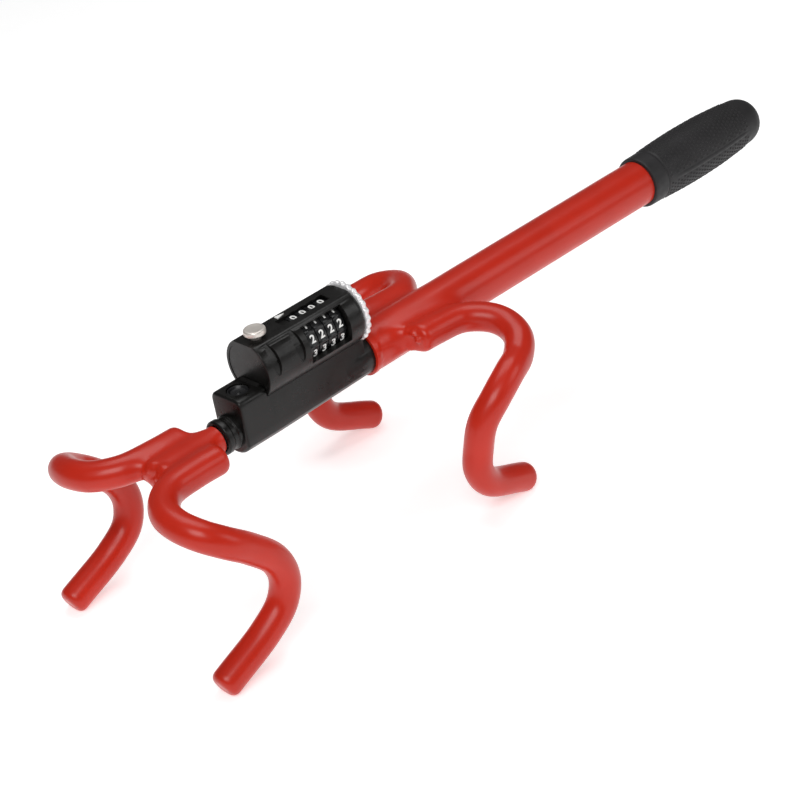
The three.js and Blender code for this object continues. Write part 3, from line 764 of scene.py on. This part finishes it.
def wheel_section(points=240):
    """Ten round lands, one for each digit, with a rounded ridge between neighbours."""
    section = []
    for i in range(points):
        angle = 2 * math.pi * i / points
        swell = max(0.0, -math.cos(DIGITS * angle)) ** 4
        radius = DIAL_FLAT + (DIAL_RIDGE - DIAL_FLAT) * swell
        section.append((radius * math.sin(angle), radius * math.cos(angle)))
    return section


def dial(number):
    low, high = bar_box(f"dial_wheel_{number}")
    section = wheel_section()
    rings = []
    for x, inset in ((low.x, 0.5), (low.x + 0.15, 0.15), (low.x + 0.5, 0), (high.x - 0.5, 0),
                     (high.x - 0.15, 0.15), (high.x, 0.5)):
        scale = 1 - inset / 16
        rings.append([(x, y * scale, DIAL_Z + z * scale) for y, z in section])
    wheel = new_object(f"dial_wheel_{number}_skin", *rings_mesh(rings), M_DIAL)
    fit(wheel, f"dial_{number}", "dial_black", f"dial_wheel_{number}")
    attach(dial_digits(number, (low.x + high.x) / 2), f"dial_{number}")


def dial_digits(number, x):
    """Raised white digits, 0 on top, the next ones down the near side."""
    work = bmesh.new()
    for digit in range(DIGITS):
        curve = bpy.data.curves.new("digit", "FONT")
        curve.body = str(digit)
        curve.size = 7.4 * MM
        curve.align_x = "CENTER"
        curve.align_y = "CENTER"
        curve.extrude = 0.12 * MM
        curve.offset = 0.17 * MM
        curve.resolution_u = 6
        holder = bpy.data.objects.new("digit", curve)
        mesh = bpy.data.meshes.new_from_object(holder)
        angle = 2 * math.pi * digit / DIGITS
        outward = Vector((0, -math.sin(angle), math.cos(angle)))
        upward = Vector((0, math.cos(angle), math.sin(angle)))
        turn = Matrix((Vector((1, 0, 0)), upward, outward)).transposed().to_4x4()
        centre = place(x, 0, DIAL_Z) + outward * DIGIT_RADIUS * MM
        mesh.transform(Matrix.Translation(centre) @ turn)
        work.from_mesh(mesh)
        bpy.data.objects.remove(holder)
        bpy.data.meshes.remove(mesh)
    mesh = bpy.data.meshes.new(f"dial_digits_{number}")
    bmesh.ops.remove_doubles(work, verts=work.verts, dist=1e-7)
    work.to_mesh(mesh)
    work.free()
    mesh.materials.append(M_WHITE)
    digits = bpy.data.objects.new(f"dial_digits_{number}", mesh)
    bpy.context.scene.collection.objects.link(digits)
    return digits


# ---- Turn ring, release knob, rod ----

def turn_ring():
    low, high = bar_box("turn_ring")
    lobes, crest, root, points = 24, 20.9, 19.7, 288
    rings = []
    for x, inset in ((low.x, 1.1), (low.x + 0.35, 0.4), (low.x + 0.9, 0), (high.x - 1.2, 0),
                     (high.x - 0.4, 0.5), (high.x, 1.4)):
        ring = []
        for i in range(points):
            angle = 2 * math.pi * i / points
            swell = (0.5 + 0.5 * math.cos(lobes * angle)) ** 0.8
            radius = root + (crest - root) * swell - inset
            ring.append((x, radius * math.cos(angle), DIAL_Z + radius * math.sin(angle)))
        rings.append(ring)
    ring = new_object("turn_ring_skin", *rings_mesh(rings), M_RING)
    fit(ring, "ring", "chrome", "turn_ring")


def ring_screw():
    """A round head with a plain socket, on a thin shank."""
    low, high = bar_box("ring_screw")
    rear, shank_radius, head_radius = high.x, 1.5, 3.9
    shank = [(low.x, shank_radius), (rear - 2.4, shank_radius)]
    head = [(rear - 2.4, head_radius), (rear - 0.4, head_radius), (rear, 3.2), (rear, 1.9),
            (rear - 1.2, 1.6), (rear - 1.2, 0.02)]
    screw = turned("ring_screw_head", shank + rounded(head, 0.25), M_STEEL, DIAL_Z, segments=48)
    fit(screw, "ring", "steel", "ring_screw")


def release_knob():
    low, high = bar_box("release_knob")
    radius, stem_radius, under, top = (high.y - low.y) / 2, 3.5, KNOB_UNDERSIDE, high.z
    outline = [(low.z, stem_radius), (under - 1.2, stem_radius), (under, 4.2), (under, radius - 0.7),
               (under + 0.6, radius), (top - 0.9, radius), (top - 0.15, radius - 0.7),
               (top, radius - 1.5), (top - 0.12, radius * 0.5), (top - 0.2, 0.02)]
    knob = turned_upright("release_knob_skin", rounded(outline, 0.35), M_CHROME, KNOB_X, 96)
    fit(knob, "release", "chrome", "release_knob")


def slide_rod():
    """A round bar with seventeen grooves; the bolt is over the first one at rest."""
    low, high = bar_box("slide_rod")
    radius, groove_radius, end_radius, pitch = 7.6, 4.8, 5.4, 9
    outline = [(low.x, 0.02), (low.x, radius - 1), (low.x + 1, radius)]
    for i in range(17):
        centre = KNOB_X + pitch * i
        outline += [(centre - 3.2, radius), (centre - 2.1, groove_radius),
                    (centre + 2.1, groove_radius), (centre + 3.2, radius)]
    outline += [(high.x - 7.3, radius), (high.x - 7.3, end_radius), (high.x, end_radius),
                (high.x, 0.02)]
    rod = turned("slide_rod_skin", rounded(outline, 0.3, 2), M_STEEL, segments=64)
    fit(rod, "sliding_rod", "steel", "slide_rod")


# ---- Scene ----

def set_cad_materials():
    slots = {row["node"]: row["material_slot"] for row in frame["record"]["subparts"]}
    for name, node in NODES.items():
        node.data.materials.clear()
        node.data.materials.append(SLOT_MATERIALS[slots[name]])


def area_light(name, position, target, size, power):
    data = bpy.data.lights.new(name, "AREA")
    data.shape = "RECTANGLE"
    data.size, data.size_y = size
    data.energy = power
    light = bpy.data.objects.new(name, data)
    light.location = position
    light.rotation_euler = (Vector(target) - Vector(position)).to_track_quat("-Z", "Y").to_euler()
    bpy.context.scene.collection.objects.link(light)


def studio():
    work = bmesh.new()
    bmesh.ops.create_grid(work, x_segments=8, y_segments=8, size=6.0)
    mesh = bpy.data.meshes.new("floor")
    work.to_mesh(mesh)
    work.free()
    floor_material = varied_material(
        "pale_floor", (0.93, 0.93, 0.93), 0.6, vary=0.01, rough_vary=0.05,
    )
    glow = floor_material.node_tree.nodes["Principled BSDF"]
    glow.inputs["Emission Color"].default_value = (1, 1, 1, 1)
    glow.inputs["Emission Strength"].default_value = 0.5
    mesh.materials.append(floor_material)
    floor = bpy.data.objects.new("floor", mesh)
    bpy.context.scene.collection.objects.link(floor)
    world = bpy.data.worlds.new("studio")
    world.use_nodes = True
    world.node_tree.nodes["Background"].inputs["Color"].default_value = (1.0, 1.0, 1.0, 1)
    world.node_tree.nodes["Background"].inputs["Strength"].default_value = 0.12
    bpy.context.scene.world = world
    area_light("key", (-1.2, -0.9, 1.5), (0, 0, 0.08), (1.2, 0.9), 20)
    area_light("top", (0.3, 0.3, 1.7), (0, 0, 0.08), (1.4, 1.0), 13)
    area_light("side", (0.9, -1.4, 0.9), (0.05, 0, 0.08), (0.8, 0.8), 5)


def camera():
    data = bpy.data.cameras.new("camera")
    data.sensor_width = 36.0
    data.lens = 109.33
    data.clip_start = 0.05
    data.clip_end = 30.0
    view = bpy.data.objects.new("camera", data)
    right = Vector((0.709501, -0.6878162, -0.1533536))
    up = Vector((0.4489223, 0.2734018, 0.8507175))
    back = Vector((-0.5432101, -0.6724287, 0.5027549))
    turn = Matrix((right, up, back)).transposed().to_4x4()
    view.matrix_world = Matrix.Translation(place(-772.375, -1061.384, 744.764)) @ turn
    bpy.context.scene.collection.objects.link(view)
    bpy.context.scene.camera = view


bpy.context.scene.view_settings.view_transform = "Standard"
camera()
studio()
set_cad_materials()
front_skin()
rear_skin()
rubber_grip()
lock_body()
ferrule()
ledge_plug()
dial_housing()
index_arrow()
for dial_number in range(1, 5):
    dial(dial_number)
turn_ring()
ring_screw()
release_knob()
slide_rod()
